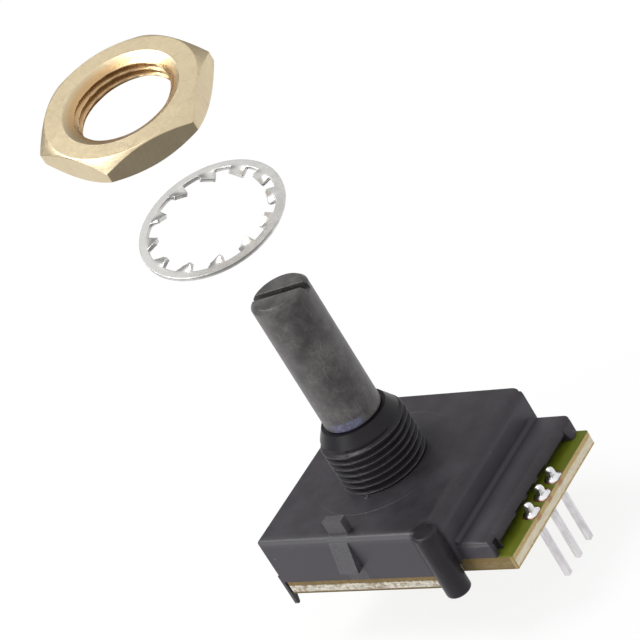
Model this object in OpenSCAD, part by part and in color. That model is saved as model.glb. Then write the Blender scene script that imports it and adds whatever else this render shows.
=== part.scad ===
// Panel-mount rotary encoder: a moulded housing with a threaded bushing, a
// circuit board with a contact pattern, and a shaft that carries the wipers.
// The origin is on the shaft's axis in the panel face. +Z points out along
// the shaft and +X towards the terminals.

/* [Housing] */
// Shaft axis to the housing's left wall
body_left = 10.4; // [9.9:0.1:11.5]
// Shaft axis to the step down to the shelf
body_right = 11.6; // [11.3:0.1:12.5]
// Shaft axis to the front wall
body_front = 11.05; // [10.6:0.05:12]
// Shaft axis to the back wall
body_back = 10.35; // [9.9:0.05:11.5]
// Height of the housing above the circuit board
body_height = 5.48; // [5.2:0.02:6.5]
// Thickness of the side walls
wall = 1.1; // [0.8:0.1:1.3]
// Thickness of the wall behind the panel face
roof = 1.2; // [0.9:0.1:1.3]
// Rounding of the panel face's edges
edge_round = 0.6; // [0.3:0.1:1]
// Drop from the panel face to the shelf
shelf_drop = 3.65; // [3:0.05:4.2]
// Shaft axis to the shelf's end wall
shelf_reach = 15.8; // [15.4:0.1:16]
// Shaft axis to the shelf's front wall
shelf_front = 8.75; // [8:0.05:9.5]

/* [Bushing and lug] */
// Outer diameter of the bushing's thread
thread_d = 9.525; // [9.4:0.005:9.6]
// Pitch of the bushing's thread
thread_pitch = 0.794; // [0.75:0.001:0.85]
// Number of thread crests on the bushing
thread_crests = 7; // [5:1:7]
// Length of the bushing above the panel face
bushing_length = 6.8; // [6.4:0.1:9]
// Height of the anti-turn lug above the panel face
lug_height = 1.65; // [1:0.05:2.5]
// Width of the anti-turn lug
lug_width = 2.4; // [1.6:0.1:3]
// Diameter of the corner post
post_d = 2.7; // [2.2:0.1:3]

/* [Circuit board] */
// Thickness of the circuit board
board_thickness = 1.57; // [1.2:0.01:1.7]
// Shaft axis to the board's tail end
board_reach = 17.55; // [17.55:0.05:19]
// Thickness of the copper
copper = 0.035; // [0.03:0.005:0.07]
// Thickness of the solder mask
mask = 0.03; // [0.02:0.01:0.05]

/* [Terminals] */
// Distance between neighbouring terminals
terminal_pitch = 2.54; // [2.5:0.01:2.6]
// Side of the square terminals
terminal_side = 0.64; // [0.5:0.02:0.66]
// Shaft axis to the row of terminals
terminal_x = 16.75; // [16.6:0.05:16.8]
// Length of the terminals below the board
terminal_below = 6.75; // [4:0.05:12]
// Length of the terminals above the board
terminal_above = 1.28; // [1:0.02:2]

/* [Shaft and rotor] */
// Diameter of the shaft's free end
shaft_d = 6.35; // [6:0.05:6.6]
// Height of the shaft's tip above the panel face
shaft_tip = 22.7; // [15:0.1:30]
// Width of the screwdriver slot
slot_width = 0.9; // [0.6:0.1:1.2]
// Depth of the screwdriver slot
slot_depth = 0.9; // [0.5:0.1:2]
// Direction of the slot in the rest pose
slot_turn = 16; // [0:1:179]
// Number of detents in one turn
detents = 24; // [12:2:24]
// Radius over the tips of the rotor's lobes
rotor_r = 8.2; // [7.9:0.1:8.3]

/* [Panel hardware] */
// Hexagon nut, across flats
nut_flats = 15.875; // [14:0.005:16]
// Thickness of the nut
nut_thickness = 2.9; // [2.2:0.1:3.2]
// Outer diameter of the lock washer
washer_d = 15.2; // [14:0.1:15.4]
// Thickness of the lock washer's sheet
washer_sheet = 0.45; // [0.3:0.05:0.5]
// Number of teeth on the lock washer
washer_teeth = 12; // [10:1:14]
// Twist of each tooth out of the washer's plane
tooth_twist = 25; // [15:1:30]

/* [Hardware held off the bushing] */
// Tilt of the loose washer and nut
loose_tilt = 12.2; // [6:0.1:14]
// Distance from the shaft axis to the line the washer swings about
swing_reach = 162; // [150:1:180]
// Heading of that line's middle, turned from +X
swing_heading = -43.3; // [-60:0.1:-30]
// Skew of that line out of the panel's plane
swing_skew = 2.7; // [0:0.1:3]
// Gap between the loose washer's middle and the nut's middle
nut_gap = 16.3; // [12:0.1:20]
// Sideways offset of the loose nut from the washer's axis
nut_aside = 1.1; // [0:0.1:1.1]
// Turn of the loose nut about its own axis
nut_turn = 45.5; // [0:0.5:60]

/* [Hidden] */
$fn = 96;

black_plastic = [0.24, 0.24, 0.26];
grey_plastic = [0.30, 0.29, 0.29];
natural_plastic = [0.85, 0.83, 0.76];
laminate = [0.68, 0.62, 0.42];
green_mask = [0.30, 0.38, 0.09];
gold = [0.83, 0.66, 0.30];
tin = [0.82, 0.82, 0.84];
spring_steel = [0.62, 0.62, 0.64];
brass = [0.80, 0.72, 0.56];
zinc = [0.80, 0.80, 0.79];

overlap = 0.1;
board_top = -body_height;
board_bottom = board_top - board_thickness;
cavity_left = -body_left + wall + 0.1;
cavity_front = -body_front + wall;

// Bushing: a cone leads in, starting most of a pitch above the last crest
thread_r = thread_d / 2;
root_r = thread_r - 0.6 * thread_pitch;
crest_flat = 0.12;
first_crest = 0.1;
last_crest = first_crest + (thread_crests - 1) * thread_pitch;
lead_start = last_crest + 0.7 * thread_pitch;
lead_r = thread_r - 0.34;
rim_r = thread_r - 1.15;
journal_r = 3;
bore_r = journal_r + 0.05;

// Post, leg and lug
post_r = post_d / 2;
post_x = body_right - 0.8;
post_y = -body_front + 0.45;
post_below = 0.85;
post_round = 0.35;
lug_front = 10.35;
lug_back = 9.4;
wedge_out = 0.95;
wedge_drop = 3.9;
leg_below = 1.45;
leg_depth = 0.8;
leg_out = 0.2;

// Rounding of the housing's upright corners, of its left and back top edges and
// of the step down to the shelf, with the fillet at the step's foot
corner = 0.3;
fine_edge = 0.25;
step_edge = 1.5;
step_fillet = 0.5;

// Shelf: a skirt behind the board's tail, and an end wall that clears the
// board, with a foot at its back end, a groove near its front end and a
// relief round each terminal
shelf_back = body_back - 0.5;
shelf_edge = 0.9;
skirt_gap = 0.05;
skirt_lift = 0.2;
groove_width = 0.8;
groove_depth = 0.5;
relief_r = 1.35;
relief_height = 1.1;
rebate_depth = 1.15;
rebate_height = 0.83;
rebate_front = -shelf_front + 1.5;
rebate_back = 7.95;
foot_reach = 0.65;

// Circuit board
board_left = -body_left + 0.4;
tail_back = body_back - 0.95;
tail_round = 0.35;
tail_border = 0.12;
tail_start = post_x - 1.2;
pivot_r = 1.5;
pivot_clear = 0.05;
pad_r = 1;
pad_trim = board_reach - terminal_x - 0.05;
pad_hole_r = 0.5;
solder_r = 0.97;
solder_rise = 0.8;
terminal_tip = 0.2;

// Contact pattern: three rings, two of them broken into segments
track_width = 1;
common_r = 3.9;
track_a_r = 5.5;
track_b_r = 7.1;
track_link = 0.25;
segments = detents / 2;
segment_angle = 180 / segments;

// Moving stack below the panel wall, from the top down
thrust_thickness = 0.3;
end_float = 0.05;
collar_top = -roof - thrust_thickness - end_float;
collar_thickness = 0.8;
collar_r = 4.6;
rotor_top = collar_top - collar_thickness;
rotor_thickness = 1.5;
rotor_bottom = rotor_top - rotor_thickness;
drive_r = 2.6;
drive_flats = 4.4;
wiper_sheet = 0.15;
wiper_bottom = rotor_bottom - wiper_sheet;
finger_tip = board_top + copper + 0.02;
finger_width = 0.7;
finger_length = 2.6;
lobe_r = 0.75;
lobe_depth = 0.5;
shaft_r = shaft_d / 2;
shaft_step = bushing_length + 0.1;
shaft_chamfer = 0.4;
spring_sheet = 0.2;
spring_half = 5.5;
spring_height = 1.1;

// Panel hardware
nut_bore_r = thread_r + 0.04;
nut_sink_depth = 0.6;
nut_sink_width = 1.5;
nut_corner_r = nut_flats / sqrt(3);
nut_face_r = 0.985 * nut_flats / 2;
nut_chamfer = (nut_corner_r - nut_face_r) * tan(35);
washer_r = washer_d / 2;
washer_ring = 0.85;
tooth_tip_r = 5.5;
tooth_tip_width = 1.1;
tooth_root_width = 1.5;
tooth_half_height = (tooth_root_width * sin(tooth_twist) + washer_sheet * cos(tooth_twist)) / 2;
washer_seat = tooth_half_height + 0.02;

// The loose hardware swings about a far line, so that it comes down the
// shaft and lies flat on the panel face at the end of its travel.
swing_out = [cos(swing_heading), sin(swing_heading), 0];
swing_side = [-sin(swing_heading), cos(swing_heading), 0];
swing_point = swing_reach * swing_out + [0, 0, washer_seat];
swing_axis = cos(swing_skew) * swing_side + [0, 0, sin(swing_skew)];
nut_place = [0, 0, washer_seat + nut_gap] - nut_aside * swing_side;

// Rectangle with rounded corners, between two corner points
module round_rect(x0, x1, y0, y1, r) {
    translate([x0 + r, y0]) square([x1 - x0 - 2 * r, y1 - y0]);
    translate([x0, y0 + r]) square([x1 - x0, y1 - y0 - 2 * r]);
    for (x = [x0 + r, x1 - r], y = [y0 + r, y1 - r]) translate([x, y]) circle(r);
}

// Outline of a block's side, with one radius at each end of its top edge
module top_round(x0, x1, y0, y1, r0, r1) {
    translate([x0, y0]) square([x1 - x0, y1 - y0 - max(r0, r1)]);
    translate([x0, y0]) square([x1 - x0 - r1, y1 - y0 - r0]);
    translate([x0 + r0, y0]) square([x1 - x0 - r0 - r1, y1 - y0]);
    translate([x0 + r0, y1 - r0]) circle(r0);
    translate([x1 - r1, y1 - r1]) circle(r1);
}

// Moulded block with rounded upright corners and rounded top edges: left, right, front and back
module moulded_block(x0, x1, y0, y1, z0, z1, corner, edges) {
    intersection() {
        translate([0, 0, z0]) linear_extrude(z1 - z0) round_rect(x0, x1, y0, y1, corner);
        translate([x0, 0, 0]) rotate([90, 0, 90]) linear_extrude(x1 - x0)
            top_round(y0, y1, z0, z1, edges[2], edges[3]);
        translate([0, y1, 0]) rotate([90, 0, 0]) linear_extrude(y1 - y0)
            top_round(x0, x1, z0, z1, edges[0], edges[1]);
    }
}

// Places its children at terminal number place: -1, 0 or 1
module at_terminal(place) {
    translate([terminal_x, place * terminal_pitch, 0]) children();
}

// Section of the shaft that drives the rotor: round with two flats
module drive_section() {
    intersection() {
        circle(drive_r);
        square([2 * drive_r, drive_flats], center = true);
    }
}

module flat_ring(outer_r, inner_r, height) {
    linear_extrude(height) difference() {
        circle(outer_r);
        circle(inner_r);
    }
}

// Threaded bushing, solid: crests and roots run round it as rings, and the first crest goes down to the face
module bushing_blank() {
    flank = 0.45 * thread_pitch;
    rotate_extrude() polygon(concat(
        [[0, -roof / 2], [thread_r, -roof / 2], [thread_r, first_crest + crest_flat / 2]],
        [for (z = [first_crest + thread_pitch:thread_pitch:last_crest + overlap]) each [
            [root_r, z - thread_pitch + flank], [root_r, z - flank],
            [thread_r, z - crest_flat / 2], [thread_r, z + crest_flat / 2]]],
        [[root_r, last_crest + flank], [root_r, lead_start], [lead_r, lead_start + 0.1],
            [rim_r, bushing_length], [0, bushing_length]]));
}

// Anti-turn lug on the panel face, carried on by a wedge down the front wall
module lug() {
    inner = cavity_front - wall / 2;
    translate([-lug_width / 2, 0, 0]) rotate([90, 0, 90]) linear_extrude(lug_width) polygon([
        [-lug_back, -roof / 2], [-lug_back, lug_height], [-lug_front, lug_height], [-lug_front, 0],
        [-body_front - 0.1, -edge_round], [-body_front - wedge_out, -wedge_drop], [inner, -wedge_drop],
        [inner, -roof / 2]]);
}

// Post down the front right corner, through the board's notch
module corner_post() {
    bottom = board_bottom - post_below;
    translate([post_x, post_y, 0]) rotate_extrude() intersection() {
        union() {
            translate([-post_r, bottom + post_round]) square([2 * post_r, -bottom - 2 * post_round]);
            translate([-post_r + post_round, bottom]) square([2 * (post_r - post_round), -bottom]);
            for (z = [bottom + post_round, -post_round]) translate([post_r - post_round, z]) circle(post_round);
        }
        translate([0, bottom]) square([post_r, -bottom]);
    }
}

// Leg at the front left corner, down past the board's end
module leg() {
    front = -body_front;
    tip = board_bottom - leg_below;
    intersection() {
        translate([-body_left - leg_out, 0, 0]) rotate([90, 0, 90])
            linear_extrude(board_left - 0.02 + body_left + leg_out) polygon([
                [front, board_top + 0.7], [front, tip + 0.25], [front + 0.1, tip], [front + 0.32, tip],
                [front + 0.42, tip + 0.1], [front + leg_depth, board_bottom], [front + leg_depth, board_top + 0.7]]);
        translate([0, 0, tip]) linear_extrude(-tip)
            round_rect(-body_left - leg_out, body_right, front, body_back, corner);
    }
}

// Skirt down the back edge of the board's tail
module skirt() {
    bottom = board_bottom + skirt_lift;
    translate([0, 0, bottom]) linear_extrude(-shelf_drop - shelf_edge - bottom) intersection() {
        round_rect(body_right - 1.5, shelf_reach, -shelf_front, shelf_back, corner);
        translate([body_right + skirt_gap, tail_back + skirt_gap]) square([shelf_reach, 1]);
    }
}

// Foot at the back end of the shelf's end wall, on the board
module foot() {
    bottom = board_top + mask + 0.01;
    back = tail_back + skirt_gap;
    inner = shelf_reach - rebate_depth;
    hull() {
        translate([0, 0, bottom]) linear_extrude(0.05) polygon([
            [inner, rebate_back], [shelf_reach + 0.8 * foot_reach, rebate_back],
            [shelf_reach + foot_reach, rebate_back + 0.4], [shelf_reach + 0.5 * foot_reach, back - 0.2],
            [shelf_reach, back], [inner, back]]);
        translate([0, 0, bottom + 1.2]) linear_extrude(0.05)
            translate([inner, rebate_back]) square([rebate_depth - 0.05, 0.6]);
    }
}

// Fillet at the foot of the step from the panel face to the shelf
module step_foot() {
    translate([body_right, shelf_back - 0.3, -shelf_drop]) rotate([90, 0, 0])
        linear_extrude(shelf_front + shelf_back - 0.6) difference() {
            translate([-overlap, -overlap]) square(step_fillet + overlap);
            translate([step_fillet, step_fillet]) circle(step_fillet, $fn = 32);
        }
}

module housing() {
    cavity = [body_right - wall - cavity_left, body_back - wall - cavity_front, body_height - roof + overlap];
    groove_y = -shelf_front + 0.55;
    color(black_plastic) difference() {
        union() {
            difference() {
                union() {
                    moulded_block(-body_left, body_right, -body_front, body_back,
                                  board_top, 0, corner, [fine_edge, step_edge, edge_round, fine_edge]);
                    moulded_block(body_right - 1.5, shelf_reach, -shelf_front, shelf_back,
                                  board_top, -shelf_drop, corner, [fine_edge, shelf_edge, edge_round, fine_edge]);
                    step_foot();
                }
                translate([cavity_left, cavity_front, board_top - overlap]) cube(cavity);
            }
            bushing_blank();
            lug();
            corner_post();
            leg();
            skirt();
            foot();
        }
        translate([0, 0, -roof - overlap]) cylinder(r = bore_r, h = bushing_length + roof + 2 * overlap);
        translate([shelf_reach - groove_depth, groove_y, board_top - overlap])
            cube([groove_depth + overlap, groove_width, body_height - shelf_drop - 0.25]);
        translate([shelf_reach - rebate_depth, rebate_front, board_top - overlap])
            cube([rebate_depth + 2 * foot_reach, rebate_back - rebate_front, rebate_height + overlap]);
        for (place = [-1:1]) at_terminal(place)
            translate([0, 0, board_top - overlap]) cylinder(r = relief_r, h = relief_height + overlap);
    }
}

module board_outline() {
    difference() {
        union() {
            round_rect(board_left, tail_start, -body_front, body_back, 0.5);
            round_rect(tail_start - 2, board_reach, -shelf_front, tail_back, tail_round);
            translate([tail_start - 2, -shelf_front])
                square([board_reach - tail_start + 2, shelf_front]);
        }
        translate([post_x, post_y]) circle(post_r + 0.05);
    }
}

module circuit_board() {
    color(laminate) translate([0, 0, board_bottom]) linear_extrude(board_thickness) difference() {
        board_outline();
        circle(pivot_r + pivot_clear);
        for (place = [-1:1]) at_terminal(place) circle(pad_hole_r);
    }
}

module solder_mask() {
    color(green_mask) translate([0, 0, board_top]) linear_extrude(mask) difference() {
        union() {
            translate([shelf_reach, -shelf_front + tail_border])
                square([board_reach - tail_border - shelf_reach, shelf_front + tail_back - 2 * tail_border]);
            translate([shelf_reach - rebate_depth + 0.05, rebate_front + 0.05])
                square([rebate_depth, rebate_back - rebate_front - 0.1]);
        }
        for (place = [-1:1]) at_terminal(place) circle(pad_r + 0.05);
    }
}

module common_track() {
    color(gold) translate([0, 0, board_top])
        flat_ring(common_r + track_width / 2, common_r - track_width / 2, copper);
}

// Ring of contact segments joined along its inner edge
module segment_track(middle_r, turn) {
    inner_r = middle_r - track_width / 2;
    translate([0, 0, board_top]) difference() {
        flat_ring(inner_r + track_width, inner_r, copper);
        for (i = [0:segments - 1]) rotate([0, 0, turn + 2 * i * segment_angle])
            translate([0, 0, -copper]) rotate_extrude(angle = segment_angle)
                translate([inner_r + track_link, 0]) square([track_width, 3 * copper]);
    }
}

module track_a() { color(gold) segment_track(track_a_r, 4); }
module track_b() { color(gold) segment_track(track_b_r, 4 + segment_angle / 2); }

module pad(place) {
    color(gold) at_terminal(place) translate([0, 0, board_top]) intersection() {
        flat_ring(pad_r, pad_hole_r, copper);
        translate([-pad_r, -pad_r, -copper]) cube([pad_r + pad_trim, 2 * pad_r, 3 * copper]);
    }
}

// Outline of a terminal from one side: long, with bevelled tips
module terminal_outline() {
    side = terminal_side / 2;
    top = board_top + terminal_above;
    bottom = board_bottom - terminal_below;
    polygon([[-side, bottom + terminal_tip], [-side / 2, bottom], [side / 2, bottom],
             [side, bottom + terminal_tip], [side, top - terminal_tip], [side / 2, top],
             [-side / 2, top], [-side, top - terminal_tip]]);
}

module terminal(place) {
    color(tin) at_terminal(place) intersection() {
        translate([0, terminal_side / 2, 0]) rotate([90, 0, 0]) linear_extrude(terminal_side) terminal_outline();
        translate([-terminal_side / 2, 0, 0]) rotate([90, 0, 90]) linear_extrude(terminal_side)
            terminal_outline();
    }
}

// Hollow-sided cone of solder round a terminal
module solder_joint(place) {
    base = board_top + copper;
    color(tin) at_terminal(place) difference() {
        translate([0, 0, base]) rotate_extrude() difference() {
            square([solder_r, solder_rise]);
            translate([solder_r + 0.32, solder_rise + 0.16]) circle(solder_rise + 0.05);
        }
        translate([0, 0, base]) cube([terminal_side, terminal_side, 4 * solder_rise], center = true);
        translate([pad_trim, -pad_r, base - overlap]) cube([1, 2 * pad_r, 2 * solder_rise]);
    }
}

// Leaf along the left wall; its bend rides on the rotor's lobes
module detent_spring() {
    back = cavity_left;
    tip = -rotor_r - 0.04;
    color(spring_steel) translate([0, 0, rotor_bottom + 0.2]) linear_extrude(spring_height) polygon([
        [back, -spring_half], [back + spring_sheet, -spring_half], [back + spring_sheet, -1.4],
        [tip, -0.25], [tip, 0.25], [back + spring_sheet, 1.4], [back + spring_sheet, spring_half],
        [back, spring_half], [back, 1.5], [tip - spring_sheet, 0.2], [tip - spring_sheet, -0.2], [back, -1.5]]);
}

module thrust_washer() {
    color(natural_plastic) translate([0, 0, -roof - thrust_thickness])
        flat_ring(6.5, bore_r + 0.3, thrust_thickness);
}

module shaft() {
    slot_place = shaft_tip - slot_depth;
    drive_length = rotor_thickness + wiper_sheet + 0.25;
    color(grey_plastic) union() {
        difference() {
            rotate_extrude() polygon([
                [0, collar_top], [journal_r, collar_top], [journal_r, shaft_step], [shaft_r, shaft_step],
                [shaft_r, shaft_tip - shaft_chamfer], [shaft_r - shaft_chamfer, shaft_tip], [0, shaft_tip]]);
            rotate([0, 0, slot_turn]) translate([-shaft_d, -slot_width / 2, slot_place])
                cube([2 * shaft_d, slot_width, slot_depth + overlap]);
        }
        translate([0, 0, rotor_top]) cylinder(r = collar_r, h = collar_thickness);
        translate([0, 0, rotor_top - drive_length]) linear_extrude(drive_length) drive_section();
        translate([0, 0, board_top - 1.1]) cylinder(r = pivot_r, h = 2.5);
    }
}

module rotor() {
    color(natural_plastic) translate([0, 0, rotor_bottom]) linear_extrude(rotor_thickness) difference() {
        circle(rotor_r);
        drive_section();
        for (i = [0:detents - 1]) rotate(180 + i * 360 / detents)
            translate([rotor_r - lobe_depth + lobe_r, 0]) circle(lobe_r, $fn = 32);
    }
}

// Spring finger that runs down to one track
module wiper_finger(middle_r, turn) {
    sheet = 0.12;
    start = rotor_bottom - wiper_sheet / 2;
    heel = 0.5;
    rotate([0, 0, turn]) translate([middle_r - finger_width / 2, 0, 0]) rotate([90, 0, 90])
        linear_extrude(finger_width) polygon([
            [-0.2, start], [0.2, start], [finger_length, finger_tip + sheet], [finger_length + heel, finger_tip + 0.4],
            [finger_length + heel, finger_tip + 0.25], [finger_length, finger_tip], [-0.2, start - sheet]]);
}

module contact_wiper() {
    color(gold) {
        translate([0, 0, wiper_bottom]) linear_extrude(wiper_sheet) difference() {
            circle(track_b_r + track_width / 2);
            drive_section();
        }
        wiper_finger(common_r, 90);
        wiper_finger(track_a_r, 200);
        wiper_finger(track_b_r, 320);
    }
}

// Moves the panel hardware from its seat to where it is held, loose
module lift_off() {
    translate(swing_point) rotate(a = loose_tilt, v = swing_axis) translate(-swing_point) children();
}

// Internal-tooth lock washer, its middle at the origin
module lock_washer_body() {
    ring_inner = washer_r - washer_ring;
    translate([0, 0, -washer_sheet / 2]) flat_ring(washer_r, ring_inner, washer_sheet);
    for (i = [0:washer_teeth - 1]) rotate([0, 0, i * 360 / washer_teeth]) rotate([tooth_twist, 0, 0])
        translate([0, 0, -washer_sheet / 2]) linear_extrude(washer_sheet) polygon([
            [tooth_tip_r, -tooth_tip_width / 2], [ring_inner + 0.15, -tooth_root_width / 2],
            [ring_inner + 0.15, tooth_root_width / 2], [tooth_tip_r, tooth_tip_width / 2]]);
}

module lock_washer() {
    color(zinc) lift_off() translate([0, 0, washer_seat]) lock_washer_body();
}

// Hexagon nut, its middle at the origin, chamfered on both faces
module hex_nut_body() {
    half = nut_thickness / 2;
    difference() {
        intersection() {
            cylinder(r = nut_corner_r, h = nut_thickness, center = true, $fn = 6);
            rotate_extrude() polygon([
                [0, -half], [nut_face_r, -half], [nut_corner_r, -half + nut_chamfer],
                [nut_corner_r, half - nut_chamfer], [nut_face_r, half], [0, half]]);
        }
        cylinder(r = nut_bore_r, h = nut_thickness + 2 * overlap, center = true);
        for (side = [0, 1]) mirror([0, 0, side]) translate([0, 0, half - nut_sink_depth])
            cylinder(r1 = nut_bore_r, r2 = nut_bore_r + 2 * nut_sink_width, h = 2 * nut_sink_depth);
    }
}

module hex_nut() {
    color(brass) lift_off() translate(nut_place) rotate([0, 0, nut_turn]) hex_nut_body();
}

housing();
circuit_board();
solder_mask();
common_track();
track_a();
track_b();
pad(1);  // pad_a
pad(0);  // pad_common
pad(-1);  // pad_b
terminal(1);  // terminal_a
terminal(0);  // terminal_common
terminal(-1);  // terminal_b
solder_joint(1);  // solder_joint_a
solder_joint(0);  // solder_joint_common
solder_joint(-1);  // solder_joint_b
detent_spring();
thrust_washer();
shaft();
rotor();
contact_wiper();
lock_washer();
hex_nut();
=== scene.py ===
"""Rotary encoder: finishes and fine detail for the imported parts, with a plain pale stage."""

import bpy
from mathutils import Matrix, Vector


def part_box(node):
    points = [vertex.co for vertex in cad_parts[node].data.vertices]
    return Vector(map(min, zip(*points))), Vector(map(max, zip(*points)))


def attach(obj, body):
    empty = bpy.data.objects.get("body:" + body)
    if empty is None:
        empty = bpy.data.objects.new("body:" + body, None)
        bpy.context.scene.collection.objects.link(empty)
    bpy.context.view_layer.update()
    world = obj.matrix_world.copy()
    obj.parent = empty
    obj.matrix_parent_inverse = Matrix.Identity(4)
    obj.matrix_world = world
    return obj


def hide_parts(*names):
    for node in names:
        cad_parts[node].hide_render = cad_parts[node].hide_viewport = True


bl_info = {
    "name": "Rotary Encoder",
    "version": (1, 0, 0),
    "blender": (4, 5, 0),
    "location": "View3D > Sidebar > Encoder",
    "description": "Gives the encoder its finishes, thread, solder and panel hardware, and sets its stage",
    "category": "Object",
}

from contextlib import contextmanager
from functools import partial, reduce
from math import cos, exp, hypot, pi, radians, sin, sqrt, tan, tanh, tau

import bmesh
import bpy
from bpy.props import FloatProperty, FloatVectorProperty, IntProperty, PointerProperty
from mathutils import Matrix, Vector, noise

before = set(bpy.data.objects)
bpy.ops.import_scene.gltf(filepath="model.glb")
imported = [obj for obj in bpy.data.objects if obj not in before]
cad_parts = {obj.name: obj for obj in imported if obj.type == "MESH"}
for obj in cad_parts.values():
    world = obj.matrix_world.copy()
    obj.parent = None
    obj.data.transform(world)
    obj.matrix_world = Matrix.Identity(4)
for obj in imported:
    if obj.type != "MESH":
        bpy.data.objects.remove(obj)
bpy.context.view_layer.update()
MM = 0.001
JOIN = 1e-7  # corners nearer than this, in metres, are one
FLAT = radians(0.3)  # faces that meet at less than this are one
FINE = 0.05 * MM  # softening of a small part's edges

# Places on the part in millimetres, from the middle of the panel face
LUG_X, LUG_Y = (-1.22, 1.22), (-13.0, -9.35)
POST = (10.8, -10.6, 0.0)
STEP_FOOT = (11.6, 12.2)
NUB_PLACE = (0.6, -5.05)
TAIL_START, TAIL_END = 10.9, 17.2
SEAM = radians(-80.5)  # where the mould's halves part on the thread

# The view and the lamps, in metres
CAMERA_PLACE = (0.24065, -0.22412, 0.19106)
CAMERA_WAY = Vector((-0.64346, 0.60679, -0.46664))
CAMERA_LEAN = radians(-31.904)
KEY_PLACE, KEY_SIZE = Vector((-0.18, -0.05, 0.36)), 0.2
FRONT_PLACE, FRONT_SIZE = Vector((-0.22, -0.6, 0.12)), 0.4


def shade(*parts):
    """Linear colour of a screen shade whose parts run from 0 to 255."""
    return tuple(((c / 255 + 0.055) / 1.055) ** 2.4 if c / 255 > 0.04 else c / 255 / 12.92 for c in parts)


def tinted(colour, *factors):
    """A linear colour times one factor, or a factor for each part."""
    return tuple(c * k for c, k in zip(colour, factors * (3 // len(factors))))


def colour(name, holder, default):
    return FloatVectorProperty(
        name=name, description="Colour of the " + holder, subtype="COLOR", size=3, min=0, max=1, default=shade(*default)
    )


def amount(name, description, default, **kind):
    return FloatProperty(name=name, description=description, default=default, **kind)


def length(name, description, default):
    """A length, given in millimetres and kept in metres."""
    return amount(name, description, default * MM, min=0, precision=5, unit="LENGTH", subtype="DISTANCE")


def angle(name, description, default):
    """An angle, given in degrees and kept in radians."""
    return amount(name, description, radians(default), subtype="ANGLE")


# Sizes and colours


class EncoderHousing(bpy.types.PropertyGroup):
    plastic: colour("Plastic", "black moulding", (55, 52, 56))
    # Besides the moulding's own paler flow tone, this colour paints light on the front faces, the step and the shelf.
    haze_and_painted_light: colour("Haze", "lighter cast where glass fibre shows", (69, 66, 71))
    # This colour serves the rubbed lug and the small marks, and also paints highlights on the front edges and the
    # thread's crests.
    scuff_and_highlight: colour("Scuff", "rubbed lug and of small marks", (92, 91, 93))
    # This colour is painted shade: it darkens the bushing, the post, the foot of the step and an area between bushing
    # and post.
    deep: colour("Deep", "darker bushing and post", (29, 25, 30))
    edge_radius: length("Edge radius", "Softening of the moulding's sharp edges", 0.09)
    end_radius: length("End radius", "Softening of the back ends of step and shelf", 0.22)
    thread_radius: length("Thread radius", "Radius over the bushing's crests", 4.7625)
    thread_depth: length("Thread depth", "Depth of the bushing's thread", 0.476)
    thread_pitch: length("Thread pitch", "Pitch of the bushing's thread", 0.794)
    thread_top: length("Thread top", "Height of the lead above the panel face", 5.42)
    first_crest: length("First crest", "Height of the lowest crest at the lug's side", 0.1)
    mould_step: length("Mould step", "Step in the thread at the mould's parting line", 0.03)
    ring_radius: length("Ring radius", "Radius of the faint ring on the panel face", 7.57)


class EncoderBoard(bpy.types.PropertyGroup):
    laminate: colour("Laminate", "board's faces", (176, 163, 112))
    cut: colour("Cut edge", "cut part of the edges", (126, 104, 62))
    resin: colour("Resin edge", "cut part along the tail's end", (204, 178, 122))
    torn: colour("Torn edge", "torn web of the edges", (222, 216, 202))
    copper: colour("Copper", "pads, and of bare copper by them", (176, 122, 96))
    mask: colour("Solder mask", "green film", (106, 116, 28))
    gold: colour("Gold", "plated contact rings", (222, 184, 106))


class EncoderTerminals(bpy.types.PropertyGroup):
    tin: colour("Tin", "tinned terminals", (234, 231, 234))
    solder: colour("Solder", "solder", (240, 240, 242))
    foot_radius: length("Foot radius", "Radius of the solder on its pad", 0.86)
    coat: length("Coat", "Half width of the solder round the terminal's top", 0.35)


class EncoderShaft(bpy.types.PropertyGroup):
    body: colour("Body", "shaft", (60, 57, 57))
    mottle: colour("Mottle", "shaft's paler patches", (100, 97, 96))
    # This colour is a painted reflection, bluish, low on the front of the shaft.
    bloom: colour("Bloom", "bluish film at the foot of the shaft", (104, 108, 140))
    edge_radius: length("Edge radius", "Softening of the shaft's edges", 0.07)


class EncoderWorks(bpy.types.PropertyGroup):
    acetal: colour("Acetal", "rotor and the thrust ring", (226, 222, 206))
    spring: colour("Spring", "detent spring", (168, 168, 172))


class EncoderWasher(bpy.types.PropertyGroup):
    zinc: colour("Zinc", "plated washer", (217, 216, 213))
    radius: length("Radius", "Outer radius of the washer", 7.6)
    ring: length("Ring", "Width of the washer's ring", 0.85)
    tooth_reach: length("Tooth reach", "How far the teeth reach in from the ring", 0.98)
    sheet: length("Sheet", "Thickness of the washer", 0.42)
    teeth: IntProperty(name="Teeth", description="Number of teeth", default=12, min=6, max=20)
    twist: angle("Twist", "Twist of a tooth at its tip", 28)


class EncoderNut(bpy.types.PropertyGroup):
    brass: colour("Brass", "turned brass", (219, 202, 168))
    tarnish: colour("Tarnish", "brass where it has dulled", (146, 122, 88))
    bore: colour("Bore", "brass in the thread", (196, 152, 98))
    flats: length("Flats", "Size across the flats", 15.875)
    thickness: length("Thickness", "Thickness of the nut", 2.9)
    thread_radius: length("Thread radius", "Radius inside the nut's crests", 4.81)
    thread_depth: length("Thread depth", "Depth of the nut's thread", 0.5)
    thread_pitch: length("Thread pitch", "Pitch of the nut's thread", 0.794)
    sink_radius: length("Sink radius", "Radius of the countersink at the face", 6.0)
    sink_depth: length("Sink depth", "Depth of the countersink", 0.5)


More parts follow.
